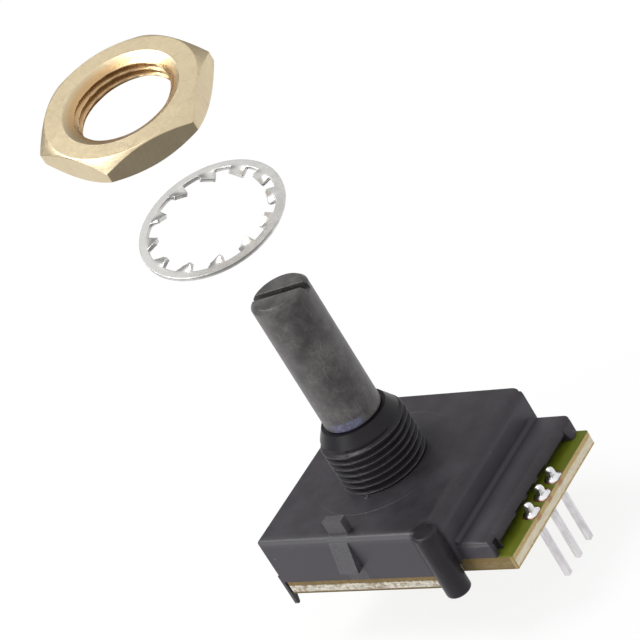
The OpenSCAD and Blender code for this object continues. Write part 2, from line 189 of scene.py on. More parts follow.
class EncoderHardware(bpy.types.PropertyGroup):
    """Where the loose washer and nut are held, off the bushing."""

    tilt: angle("Tilt", "Tilt of the loose pieces", 12.2)
    reach: length("Reach", "Distance from the shaft to the line of the tilt", 162)
    heading: angle("Heading", "Heading of that line", -43.3)
    skew: angle("Skew", "Skew of that line", 2.7)
    washer_seat: length("Washer seat", "Height of the washer's middle on the panel face", 0.5409)
    nut_gap: length("Nut gap", "Gap between the middles of washer and nut", 16.3)
    nut_aside: length("Nut aside", "Sideways offset of the nut", 1.1)
    nut_turn: angle("Nut turn", "Turn of the nut", 45.5)


class EncoderStage(bpy.types.PropertyGroup):
    floor: colour("Floor", "floor", (245, 245, 246))
    floor_drop: length("Floor drop", "Depth of the floor below the panel face", 14.0)
    key_power: amount("Key power", "Power of the soft lamp", 0.9, min=0, unit="POWER")
    front_power: amount("Front power", "Power of the lamp in front", 1.5, min=0, unit="POWER")
    sky_strength: amount("Sky strength", "Strength of the room's light", 0.6, min=0)
    lens: amount("Lens", "Focal length in millimetres", 213.93, min=1)


GROUPS = {
    "encoder_" + group.__name__.replace("Encoder", "").lower(): group
    for group in (
        EncoderHousing, EncoderBoard, EncoderTerminals, EncoderShaft, EncoderWorks, EncoderWasher, EncoderNut,
        EncoderHardware, EncoderStage,
    )
}


def configured(thing, **settings):
    for key, value in settings.items():
        setattr(thing, key, value)
    return thing


# Shader tools


def bare_tree(owner):
    """The emptied node tree of a new material or world."""
    owner.use_nodes = True
    owner.node_tree.nodes.clear()
    return owner.node_tree


def is_socket(value):
    return isinstance(value, bpy.types.NodeSocket)


def put(tree, kind, inputs=None, **settings):
    """Adds a node, sets its settings, and links or sets its inputs."""
    made = configured(tree.nodes.new("ShaderNode" + kind), **settings)
    for socket, value in (inputs or {}).items():
        if is_socket(value):
            tree.links.new(value, made.inputs[socket])
        else:
            made.inputs[socket].default_value = value
    return made


def add(kind, inputs, **settings):
    """Adds a node to the tree that its linked inputs are in."""
    tree = next(value.id_data for value in inputs.values() if is_socket(value))
    return put(tree, kind, inputs, **settings)


def maths(operation, *values):
    return add("Math", dict(enumerate(values)), operation=operation).outputs[0]


def chained(operation):
    """A function that applies a maths operation to its values from left to right."""
    return lambda *values: reduce(partial(maths, operation), values)


times, plus, less, larger = (chained(operation) for operation in ("MULTIPLY", "ADD", "SUBTRACT", "MAXIMUM"))


def vectors(operation, *values):
    made = add("VectorMath", dict(enumerate(values)), operation=operation)
    return made.outputs["Value" if operation in ("LENGTH", "DISTANCE", "DOT_PRODUCT") else 0]


def fade(value, start, end, low=0.0, high=1.0):
    """Smooth step of value from low at start to high at end."""
    sockets = {"Value": value, "From Min": start, "From Max": end, "To Min": low, "To Max": high}
    return add("MapRange", sockets, interpolation_type="SMOOTHSTEP").outputs["Result"]


def blend(factor, first, second):
    """Mix of two colours, each a linear triple or a socket."""
    first, second = (c if is_socket(c) else (*c, 1) for c in (first, second))
    return add("Mix", {0: factor, 6: first, 7: second}, data_type="RGBA").outputs[2]


def layered(base, *coats):
    """A base colour under coats, each a mask and a colour."""
    return reduce(lambda under, coat: blend(coat[0], under, coat[1]), coats, base)


def clouds(vector, scale, detail=2, roughness=0.5, output=0):
    sockets = {"Vector": vector, "Scale": scale, "Detail": detail, "Roughness": roughness}
    return add("TexNoise", sockets).outputs[output]


def shared(name, outputs, **inputs):
    """Makes wire(*sockets) a node group, built once. Inputs with a number are floats, and the rest are vectors."""

    def decorate(wire):
        def group():
            tree = bpy.data.node_groups.get(name)
            if tree:
                return tree
            tree = bpy.data.node_groups.new(name, "ShaderNodeTree")
            for label, default in inputs.items():
                kind = "NodeSocketFloat" if isinstance(default, float) else "NodeSocketVector"
                socket = tree.interface.new_socket(name=label, in_out="INPUT", socket_type=kind)
                if default is not None:
                    socket.default_value = default
            for label in outputs:
                tree.interface.new_socket(name=label, in_out="OUTPUT", socket_type="NodeSocketFloat")
            start, end = tree.nodes.new("NodeGroupInput"), tree.nodes.new("NodeGroupOutput")
            for socket, made in zip(end.inputs, wire(*(start.outputs[label] for label in inputs))):
                tree.links.new(made, socket)
            return tree

        return group

    return decorate


def use(group, **inputs):
    """Places a shared group and gives its outputs."""
    return add("Group", inputs, node_tree=group()).outputs


@shared("Moulded skin", ("Height", "Flow", "Grain"), Vector=None, Fine=4.0, Broad=0.3)
def moulded_skin(vector, fine, broad):
    """Fine pebbled skin of a moulding over slow, broad flow marks."""
    fine, broad = clouds(vector, fine, 3, 0.6), clouds(vector, broad, 5, 0.62)
    return plus(times(fine, 0.6), times(broad, 0.4)), fade(broad, 0.34, 0.68), fade(fine, 0.3, 0.7)


@shared("Streaks", ("Height", "Mask"), Vector=None, Stretch=(1, 1, 1))
def streaks(vector, stretch):
    """Long thin streaks, drawn out along one direction by a stretch."""
    lines = clouds(vectors("MULTIPLY", vector, stretch), 1.0, 4, 0.65)
    return lines, fade(lines, 0.42, 0.62)


@shared("Specks", ("Mask",), Vector=None, Density=1.0, Size=0.1, Share=0.2)
def specks(vector, density, size, share):
    """Sparse small round specks of dust or nicks."""
    cells = add("TexVoronoi", {"Vector": vector, "Scale": density}).outputs
    chosen = add("SeparateColor", {0: cells["Color"]}).outputs[0]
    return (times(fade(cells["Distance"], size, 0.0), maths("LESS_THAN", chosen, share)),)


@shared("Hairlines", ("Mask",), Vector=None, Stretch=(1, 1, 1), Width=0.03)
def hairlines(vector, stretch, width):
    """Broken thin scratches in cells stretched along one direction."""
    drawn = vectors("MULTIPLY", vector, stretch)
    bent = vectors("ADD", drawn, clouds(drawn, 0.7, output="Color"))
    edge = add("TexVoronoi", {"Vector": bent, "Scale": 1.0}, feature="DISTANCE_TO_EDGE").outputs[0]
    return (times(fade(edge, width, 0.0), fade(clouds(drawn, 2.3), 0.52, 0.6)),)


@shared("Spot", ("Mask",), Vector=None, Centre=(0, 0, 0), Radius=1.0, Softness=0.5)
def spot(vector, centre, radius, softness):
    """Soft round mask about a centre."""
    return (fade(vectors("DISTANCE", vector, centre), radius, times(radius, less(1.0, softness))),)


@shared("Band", ("Mask",), Value=0.0, Low=0.0, High=1.0, Softness=0.1)
def band(value, low, high, softness):
    """Mask that is 1 between two values, with soft ends."""
    half = times(softness, 0.5)
    return (times(fade(value, less(low, half), plus(low, half)), fade(value, plus(high, half), less(high, half))),)


@shared("Turning marks", ("Height",), Vector=None, Lines=20.0)
def turning_marks(vector, lines):
    """Fine rings about the Z axis, as a lathe leaves them."""
    radius = vectors("LENGTH", vectors("MULTIPLY", vector, (1, 1, 0)))
    phase = plus(times(radius, lines), times(clouds(vector, 0.5), 4.0))
    sockets = {"W": phase, "Scale": 1.0, "Detail": 3, "Roughness": 0.7}
    return (add("TexNoise", sockets, noise_dimensions="1D").outputs[0],)


def within(value, low, high, softness):
    return use(band, Value=value, Low=low, High=high, Softness=softness)[0]


class Finish:
    """A material in the making: its tree, its coordinates in millimetres and its shader.

    Coordinates are the part's own, or those of a loose piece that stands at the matrix frame_of."""

    def __init__(self, name, frame_of=None, **sockets):
        self.material = bpy.data.materials.new(name)
        self.tree = tree = bare_tree(self.material)
        self.shader = put(tree, "BsdfPrincipled")
        for key, value in sockets.items():
            self.shader.inputs[key.replace("_", " ")].default_value = value
        put(tree, "OutputMaterial", {"Surface": self.shader.outputs[0]})
        given = put(tree, "TexCoord").outputs
        self.place, normal = vectors("MULTIPLY", given["Object"], (1000, 1000, 1000)), given["Normal"]
        if frame_of is not None:
            turn = frame_of.to_euler("XYZ")
            place = {0: self.place, "Location": frame_of.translation / MM, "Rotation": turn}
            self.place = add("Mapping", place, vector_type="TEXTURE").outputs[0]
            normal = add("Mapping", {0: normal, "Rotation": turn}, vector_type="TEXTURE").outputs[0]
        self.x, self.y, self.z = add("SeparateXYZ", {0: self.place}).outputs
        self.facing = add("SeparateXYZ", {0: normal}).outputs

    def use(self, group, **inputs):
        """Places a shared group at the finish's coordinates."""
        return use(group, Vector=self.place, **inputs)

    def plan(self):
        """The coordinates seen along the axis of the shaft or of the loose piece."""
        return vectors("MULTIPLY", self.place, (1, 1, 0))

    def done(self, base, roughness, height, depth):
        """Sets colour, roughness and relief, whose height runs from 0 to 1 over a depth in millimetres."""
        relief = add("Bump", {"Height": height, "Strength": 1.0, "Distance": depth * MM}).outputs[0]
        for socket, value in (("Base Color", base), ("Roughness", roughness), ("Normal", relief)):
            self.tree.links.new(value, self.shader.inputs[socket])
        return self.material


def moulding_finish(s):
    """Fine grain and broad flow tone, a rubbed lug and a few specks, with painted shade on the bushing, the post, the
    foot of the step and an area between bushing and post, painted light on the front faces, the step and the shelf, and
    painted highlights on the front edges and the thread's crests.
    """
    f = Finish("Black glass-filled moulding", Specular_IOR_Level=0.24)
    height, flow, grain = f.use(moulded_skin, Fine=5.5, Broad=0.32)
    plan, forward, up = f.plan(), f.facing[1], f.facing[2]
    radius = vectors("LENGTH", plan)
    lug = times(within(f.x, *LUG_X, 0.06), within(f.y, *LUG_Y, 0.06))
    rubbed = times(lug, fade(grain, 0.1, 0.9, 0.25, 0.75))
    dust = f.use(specks, Density=0.42, Size=0.05, Share=0.3)[0]
    nicks = f.use(hairlines, Stretch=(0.22, 0.22, 0.22), Width=0.006)[0]
    marks = larger(dust, times(nicks, 0.1))
    painted_light_step = times(fade(f.x, 11.2, 11.8), fade(f.z, -0.3, -1.4), fade(f.x, 15.2, 12.8))
    painted_shade_spot = f.use(spot, Centre=(8.2, -7.4, 0.0), Radius=6.4, Softness=0.92)[0]
    edge_highlight = times(larger(times(forward, -1.0), 0.0), up)
    front_wall_highlight = times(fade(f.y, -9.9, -10.8), fade(f.z, -1.2, -0.2))
    step_foot_shade = times(within(f.x, *STEP_FOOT, 0.3), fade(f.z, -2.7, -3.2))
    bushing = times(fade(radius, 5.3, 4.8), fade(f.z, -0.1, 0.1))
    deep = larger(bushing, fade(vectors("DISTANCE", plan, POST), 1.9, 1.3))
    crest = times(bushing, fade(radius, 4.66, 4.75))
    base = layered(
        s.plastic,
        (times(flow, 0.6), s.haze_and_painted_light),
        # Painted light: faces that face the front are paler.
        (fade(forward, -0.5, -0.95, 0.0, 0.75), s.haze_and_painted_light),
        # Painted light makes the step and the shelf paler and greyer, and an area of painted shade darkens the top
        # between the bushing and the post.
        (times(painted_light_step, 0.6), tinted(s.haze_and_painted_light, 1.75)),
        (times(painted_shade_spot, fade(up, 0.5, 0.9), 0.5), s.deep),
        # Painted highlights on the rounded front edges and along the top of the front wall.
        (fade(edge_highlight, 0.12, 0.42, 0.0, 0.6), s.scuff_and_highlight),
        (times(front_wall_highlight, 0.3), s.scuff_and_highlight),
        # Painted shade darkens the corner at the foot of the step.
        (times(step_foot_shade, 0.28), s.deep),
        # Painted shade darkens the bushing and the post, and the top of the bushing's lead darker still.
        (times(deep, 0.85), s.deep),
        (times(bushing, fade(f.z, 5.2, 5.6), 0.6), tinted(s.deep, 0.4)),
        # Painted highlight: lighter thin lines on the bushing's thread crests.
        (times(crest, fade(grain, 0, 1, 0.2, 0.7)), s.scuff_and_highlight),
        (rubbed, s.scuff_and_highlight),
        (marks, tinted(s.scuff_and_highlight, 2.2)),
    )
    rough = plus(fade(flow, 0, 1, 0.32, 0.4), times(grain, 0.05), times(deep, -0.04), times(rubbed, 0.2))
    return f.done(base, rough, plus(height, times(rubbed, 0.9), times(marks, -0.4)), 0.022)


def shaft_finish(s):
    """Cloudy mottling, faint rings from turning and a bluish painted reflection at the foot."""
    f = Finish("Dark satin shaft", Specular_IOR_Level=0.55)
    height, flow, grain = f.use(moulded_skin, Fine=3.2, Broad=0.36)
    ring_height, rings = f.use(streaks, Stretch=(0.25, 0.25, 5.0))
    scuffs = f.use(hairlines, Stretch=(0.5, 0.5, 0.22), Width=0.016)[0]
    foot = f.use(spot, Centre=(1.2, -2.9, 7.4), Radius=2.3, Softness=0.5)[0]
    base = layered(
        s.body,
        (times(flow, fade(grain, 0, 1, 0.6, 1.0)), s.mottle),
        (times(scuffs, 0.35), tinted(s.mottle, 2.0)),
        # Painted reflection: a bluish sheen low on the front of the shaft.
        (times(foot, within(f.z, 6.0, 7.85, 0.3), fade(grain, 0.2, 0.8, 0.35, 0.9)), s.bloom),
    )
    rough = plus(fade(flow, 0, 1, 0.34, 0.44), times(rings, 0.05))
    return f.done(base, rough, plus(times(height, 0.8), times(ring_height, 0.4), times(scuffs, -0.3)), 0.014)


def laminate_finish(s):
    """Faint weave on the faces; cut edges with a torn web along them, and bare copper by the pads."""
    f = Finish("Epoxy glass laminate", Specular_IOR_Level=0.45)
    runs = (0.3, 4.5, 0.3), (4.5, 0.3, 0.3), (0.8, 0.8, 5.0)
    warp, weft, torn = (f.use(streaks, Stretch=run)[0] for run in runs)
    weave = times(plus(warp, weft), 0.5)
    filmed = times(fade(f.x, 14.5, 14.7), maths("GREATER_THAN", f.z, -6.0))
    face = layered(tinted(s.laminate, 0.8), (fade(weave, 0.4, 0.62), s.laminate), (filmed, s.mask))
    # Edges: the torn web is a band whose sides wander up and down, with a darker band of painted shade on the cut under
    # it.
    chips = clouds(f.place, 2.2, 4, 0.7)
    level = plus(f.z, times(less(chips, 0.5), 0.34))
    tail_front = times(maths("LESS_THAN", f.y, -8.6), maths("GREATER_THAN", f.x, TAIL_START))
    tail_end = maths("GREATER_THAN", f.x, TAIL_END)
    cut = layered(
        s.cut,
        (fade(chips, 0.35, 0.65), tinted(s.cut, 0.72)),
        # Painted shade: a dark band low on the cut edges.
        (times(within(level, -7.3, -6.86, 0.14), 0.5), tinted(s.cut, 0.4)),
        (times(tail_end, fade(chips, 0.3, 0.7, 0.75, 1.0)), s.resin),
    )
    fibres = layered(
        tinted(s.torn, 0.62),
        (fade(torn, 0.38, 0.62), s.torn),
        (times(tail_end, 0.6), tinted(s.torn, 1.25, 1.16, 0.95)),
        (times(less(1.0, tail_end), fade(chips, 0.46, 0.62), 0.7), s.cut),
    )
    web = times(within(level, -6.82, -6.02, 0.16), less(1.0, times(tail_front, 0.86)))
    # Copper shows in the tail's end by the pads, which are 2.54 mm apart.
    by_pads = plus(maths("ABSOLUTE", maths("WRAP", plus(f.y, 0.25), 1.27, -1.27)), times(chips, 0.3))
    pads = times(fade(by_pads, 0.75, 0.35), within(f.y, -4.2, 3.6, 0.6))
    copper = times(pads, maths("GREATER_THAN", f.x, 17.0), fade(f.z, -6.25, -5.9), 0.75)
    edge = layered(cut, (web, fibres), (copper, s.copper), (times(tail_front, 0.6), tinted(s.cut, 0.95, 0.98, 0.8)))
    side = fade(maths("ABSOLUTE", f.facing[2]), 0.7, 0.4)
    relief = plus(times(weave, 0.3), times(side, plus(times(torn, 2.0), chips)))
    return f.done(blend(side, face, edge), fade(side, 0, 1, 0.38, 0.72), relief, 0.05)


def mask_finish(s):
    """Green film over the tail, thinner towards the cut edges, with painted shade that makes it darker and browner
    towards the tail's end.
    """
    f = Finish("Green solder mask", Specular_IOR_Level=0.25, Coat_Roughness=0.3, Coat_Weight=0.05)
    height, flow, _ = f.use(moulded_skin, Fine=2.4, Broad=0.5)
    thin = larger(fade(f.x, 17.35, 17.5), fade(f.y, -8.5, -8.65))
    base = layered(
        tinted(s.mask, 0.7),
        (flow, s.mask),
        # Painted shade: darker and browner towards the tail's end.
        (fade(f.x, 15.9, 17.1, 0.0, 0.9), tinted(s.mask, 0.74, 0.72, 0.35)),
        (times(thin, 0.25), s.laminate),
    )
    return f.done(base, fade(flow, 0, 1, 0.3, 0.42), height, 0.012)


def metal_finish(name, main, wear, roughness, grain, depth, stretch=(1, 1, 1), frame_of=None):
    """Bare or plated metal with streaks along one direction, patches darker by the factor wear, and small pits."""
    f = Finish(name, frame_of, Metallic=1.0)
    worn = tinted(main, wear)
    height, flow, _ = f.use(moulded_skin, Fine=grain, Broad=grain * 0.16)
    drawn_height, drawn = f.use(streaks, Stretch=stretch)
    pits = f.use(specks, Density=grain * 0.4, Size=0.16, Share=0.25)[0]
    tone = times(plus(flow, drawn), 0.5)
    base = layered(worn, (tone, main), (times(pits, 0.5), tinted(worn, 0.35)))
    relief = less(plus(drawn_height, times(height, 0.6)), pits)
    return f.done(base, fade(tone, 0, 1, roughness + 0.08, roughness - 0.03), relief, depth)


def acetal_finish(s):
    """Natural acetal, slightly clear, with flow marks."""
    f = Finish("Natural acetal", Specular_IOR_Level=0.5, Subsurface_Weight=0.15, Subsurface_Scale=0.4 * MM)
    height, flow, grain = f.use(moulded_skin, Fine=3.0, Broad=0.4)
    base = blend(flow, tinted(s.acetal, 0.85), s.acetal)
    return f.done(base, fade(grain, 0, 1, 0.34, 0.46), height, 0.012)


def brass_finish(s, frame_of):
    """Turned brass: rings on the faces and the bevels, drawn streaks on the flats, and a deeper tone inside."""
    f = Finish("Turned brass", frame_of, Metallic=1.0)
    radius = vectors("LENGTH", f.plan())
    rings = f.use(turning_marks, Lines=16.0)[0]
    drawn_height, drawn = f.use(streaks, Stretch=(3.0, 3.0, 0.5))
    height, flow, grain = f.use(moulded_skin, Fine=3.0, Broad=0.28)
    nicks = f.use(hairlines, Stretch=(0.5, 0.5, 0.5), Width=0.02)[0]
    flats = times(fade(maths("ABSOLUTE", f.facing[2]), 0.5, 0.2), fade(radius, 6.6, 7.2))
    base = layered(
        s.brass,
        (fade(flow, 0, 1, 0.0, 0.08), s.tarnish),
        (times(drawn, 0.08), s.tarnish),
        (times(nicks, 0.3), s.tarnish),
        (times(within(radius, 4.9, 5.9, 0.2), fade(rings, 0.35, 0.65, 0.15, 0.45)), s.tarnish),
        (times(fade(radius, 5.75, 5.35), 0.6), s.bore),
    )
    rough = times(fade(grain, 0, 1, 0.26, 0.33), fade(radius, 4.8, 5.4, 0.6, 1.15))
    lathe, bar = times(rings, less(1.0, flats)), times(drawn_height, flats)
    return f.done(base, rough, plus(lathe, bar, times(height, 0.25)), 0.008)


# Mesh tools


@contextmanager
def edited(mesh):
    """The mesh opened for editing, and written back at the end."""
    build = bmesh.new()
    build.from_mesh(mesh)
    yield build
    build.to_mesh(mesh)
    build.free()


def made_mesh(name, verts, faces, join=False):
    """A mesh from corners in millimetres, its faces turned outwards; join merges the corners that meet."""
    mesh = bpy.data.meshes.new(name)
    mesh.from_pydata([Vector(v) * MM for v in verts], [], faces)
    with edited(mesh) as build:
        if join:
            bmesh.ops.remove_doubles(build, verts=build.verts, dist=JOIN)
            bmesh.ops.dissolve_degenerate(build, edges=build.edges, dist=JOIN)
        bmesh.ops.recalc_face_normals(build, faces=build.faces)
    return mesh


def new_piece(name, skin, body, material, sharp):
    """A piece from corners in millimetres and faces."""
    return place_piece(name, made_mesh(name, *skin, join=True), body, material, sharp)


def place_piece(name, mesh, body, material, sharp, matrix=None):
    """A smooth piece that rides on a body, stood at the matrix if it has one."""
    mesh.shade_smooth()
    mesh.set_sharp_from_angle(angle=radians(sharp))
    mesh.materials.clear()
    mesh.materials.append(material)
    if matrix is not None:
        mesh.transform(matrix)
    piece = linked(name, mesh)
    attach(piece, body)
    return piece


def linked(name, data):
    """A new object that is in the scene."""
    thing = bpy.data.objects.new(name, data)
    bpy.context.scene.collection.objects.link(thing)
    return thing


def lofted(rings, closed_ends=True, loop=False):
    """Corners and faces over rings of equal count; loop joins the last ring to the first."""
    count = len(rings[0])
    verts = [p for ring in rings for p in ring]
    faces = []
    for i in range(len(rings) if loop else len(rings) - 1):
        a, b = i * count, ((i + 1) % len(rings)) * count
        faces += [(a + j, a + (j + 1) % count, b + (j + 1) % count, b + j) for j in range(count)]
    if closed_ends and not loop:
        faces += [tuple(range(count))[::-1], tuple(range(len(verts) - count, len(verts)))]
    return verts, faces


def turns(count):
    return [tau * i / count for i in range(count)]


def polar(radius, turn, height, centre=(0, 0)):
    return centre[0] + radius * cos(turn), centre[1] + radius * sin(turn), height


def circle_ring(radius, height, count, centre=(0, 0)):
    return [polar(radius, turn, height, centre) for turn in turns(count)]


def plain_copy(node):
    """The node's mesh with its corners joined, and without its custom normals."""
    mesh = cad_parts[node].data.copy()
    with edited(mesh) as build:
        bmesh.ops.remove_doubles(build, verts=build.verts, dist=JOIN)
    clean = bpy.data.meshes.new(node + "_plain")
    clean.from_pydata([v.co.copy() for v in mesh.vertices], [], [tuple(p.vertices) for p in mesh.polygons])
    bpy.data.meshes.remove(mesh)
    return clean


def cut_away(mesh, skin):
    """The mesh less what the skin, corners in millimetres and faces, encloses."""
    body, tool = linked("cut_body", mesh), linked("cutter", made_mesh("cutter", *skin))
    configured(body.modifiers.new("cut", "BOOLEAN"), operation="DIFFERENCE", solver="EXACT", object=tool)
    whole = bpy.data.meshes.new_from_object(body.evaluated_get(bpy.context.evaluated_depsgraph_get()))
    for thing in (body, tool):
        bpy.data.objects.remove(thing)
    return whole


def bevelled(thing, radius, sharp):
    made = thing.modifiers.new("soften", "BEVEL")
    configured(made, width=radius, segments=2, limit_method="ANGLE", angle_limit=radians(sharp))


def keep_node(node, material, radius=0.0, sharp=30.0):
    """Dresses a node as it is, with its edges sharper than an angle softened by a radius in metres."""
    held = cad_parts[node]
    for place in held.material_slots:
        configured(place, link="OBJECT", material=material)
    if radius:
        held.modifiers.new("join", "WELD").merge_threshold = JOIN
        configured(held.modifiers.new("flatten", "DECIMATE"), decimate_type="DISSOLVE", angle_limit=FLAT)
        bevelled(held, radius, sharp)
        held.modifiers.new("shade", "WEIGHTED_NORMAL").weight = 80


def hardware_matrix(hardware, along=0.0, aside=0.0, turn=0.0):
    """Where a loose piece stands: lifted off its seat by the tilt about the far line."""
    up, out = Vector((0, 0, 1)), Vector((cos(hardware.heading), sin(hardware.heading), 0))
    side = Vector((-out.y, out.x, 0))
    axis = cos(hardware.skew) * side + sin(hardware.skew) * up
    point = hardware.reach * out + hardware.washer_seat * up
    seat = Matrix.Translation((hardware.washer_seat + along) * up - aside * side)
    swing = Matrix.Translation(point) @ Matrix.Rotation(hardware.tilt, 4, axis) @ Matrix.Translation(-point)
    return swing @ seat @ Matrix.Rotation(turn, 4, "Z")


class Undoable:
    """Lets an operator be undone."""

    bl_options = {"REGISTER", "UNDO"}


class ENCODER_OT_housing(Undoable, bpy.types.Operator):
    """Build the black moulding with its helical thread and moulding marks"""

    bl_idname = "encoder.housing"
    bl_label = "Housing"

    def execute(self, context):
        s = context.scene.encoder_housing
        plastic = moulding_finish(s)
        # The solids' ring crests are cut off down to a core, which the helical thread covers.
        root, top, outside, foot = (s.thread_radius - s.thread_depth) / MM - 0.03, s.thread_top / MM, 6.2, 0.004
        sleeve = [circle_ring(r, z, 96) for r, z in ((outside, foot), (outside, top), (root, top), (root, foot))]
        mesh = cut_away(plain_copy("housing"), lofted(sleeve, loop=True))
        self.soften(mesh, s)
        shell = place_piece("housing_moulding", mesh, "base", plastic, 32)
        shell.modifiers.new("shade", "WEIGHTED_NORMAL").keep_sharp = True
        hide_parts("housing")
        self.thread(s, plastic)
        self.marks(s, plastic)
        return {"FINISHED"}

    def soften(self, mesh, s):
        """Larger radii on the back ends of step and shelf, and small ones on the other outside edges."""
        with edited(mesh) as build:
            bmesh.ops.remove_doubles(build, verts=build.verts, dist=JOIN)
            bmesh.ops.dissolve_limit(
                build, angle_limit=FLAT, verts=build.verts, edges=build.edges, use_dissolve_boundaries=False
            )
            picked, ends = [], []
            for edge in build.edges:
                if len(edge.link_faces) != 2 or edge.calc_face_angle(0) < radians(32) or not edge.is_convex:
                    continue
                middle = (edge.verts[0].co + edge.verts[1].co) / 2 / MM
                over_step = 10.9 < middle.x < 11.59 and middle.y > 10.3 and middle.z > -1.5
                over_shelf = 15.1 < middle.x < 15.79 and middle.y > 9.8 and -4.55 < middle.z < -3.9
                on_bushing = hypot(middle.x, middle.y) < 6.3 and middle.z > -0.5
                in_cavity = -9.3 < middle.x < 10.6 and -10.05 < middle.y < 9.25 and middle.z < -1.1
                if over_step or over_shelf:
                    ends.append(edge)
                elif edge.calc_length() >= 0.5 * MM and not on_bushing and not in_cavity:
                    picked.append(edge)
            for edges, radius, segments, profile in ((ends, s.end_radius, 3, 0.5), (picked, s.edge_radius, 2, 0.6)):
                edges = [edge for edge in edges if edge.is_valid]
                shape = dict(offset=radius, segments=segments, profile=profile, affect="EDGES", clamp_overlap=True)
                bmesh.ops.bevel(build, geom=edges, **shape)

    def thread(self, s, plastic):
        """Helical thread whose two mould halves meet in a slight step."""
        crest, pitch, top = s.thread_radius / MM, s.thread_pitch / MM, s.thread_top / MM
        root, first, step = crest - s.thread_depth / MM, s.first_crest / MM, s.mould_step / MM
        core, flash_height, flash_width, cone_slope, cone_start = root - 0.035, 0.1, radians(1.3), 0.63, top - 0.42
        profile = [
            (-0.5 * pitch, root), (-0.34 * pitch, root + 0.02), (-0.055, crest - 0.04), (-0.02, crest),
            (0.02, crest), (0.055, crest - 0.04), (0.34 * pitch, root + 0.02),
        ]
        rings = []
        for turn in [*turns(180), tau]:
            away = (turn - SEAM + pi) % tau - pi
            halves = tanh(away * 45) * (1 if abs(away) < pi / 2 else tanh((pi - abs(away)) * 3))
            shift = pitch * (turn + pi / 2) / tau + step / 2 * halves
            flash = flash_height * exp(-((away / flash_width) ** 2))
            column = [(0.0, core), (0.0, root)]
            for k in range(-3, 9):
                for along, radius in profile:
                    z = first + k * pitch + shift + along
                    cone = crest - 0.01 + cone_slope * (cone_start - z)
                    radius = root if z < 0 or z > top else max(root, min(crest, radius + flash, cone))
                    column.append((min(max(z, 0.0), top), radius))
            column += [(top, root), (top, core)]
            rings.append([polar(r, turn, z) for z, r in column])
        new_piece("bushing_thread", lofted(rings, closed_ends=False), "base", plastic, 50)

    def marks(self, s, plastic):
        """Faint ring on the panel face, and a gate nub at the thread's foot."""
        ring = s.ring_radius / MM
        outline = [(ring - 0.07, -0.03), (ring - 0.035, 0.01), (ring, 0.02), (ring + 0.035, 0.01), (ring + 0.07, -0.03)]
        skin = lofted([circle_ring(r, z, 144) for r, z in outline], loop=True)
        new_piece("panel_face_ring", skin, "base", plastic, 80)
        nub = [(0.30, -0.05), (0.29, 0.05), (0.24, 0.11), (0.17, 0.12), (0.11, 0.08), (0.05, 0.06), (0.02, 0.055)]
        skin = lofted([circle_ring(r, z, 32, NUB_PLACE) for r, z in nub])
        new_piece("gate_nub", skin, "base", plastic, 60)


class ENCODER_OT_board(Undoable, bpy.types.Operator):
    """Dress the circuit board, its green film, its pads and its contact rings"""

    bl_idname = "encoder.board"
    bl_label = "Circuit board"

    def execute(self, context):
        s = context.scene.encoder_board
        keep_node("circuit_board", laminate_finish(s), FINE)
        keep_node("solder_mask", mask_finish(s))
        gold = metal_finish("Gold contact", s.gold, 0.8, 0.24, 3.0, 0.004)
        copper = metal_finish("Tinned copper pad", s.copper, 0.75, 0.3, 4.0, 0.004)
        for node in ("common_track", "track_a", "track_b"):
            keep_node(node, gold)
        for node in ("pad_a", "pad_common", "pad_b"):
            keep_node(node, copper)
        return {"FINISHED"}


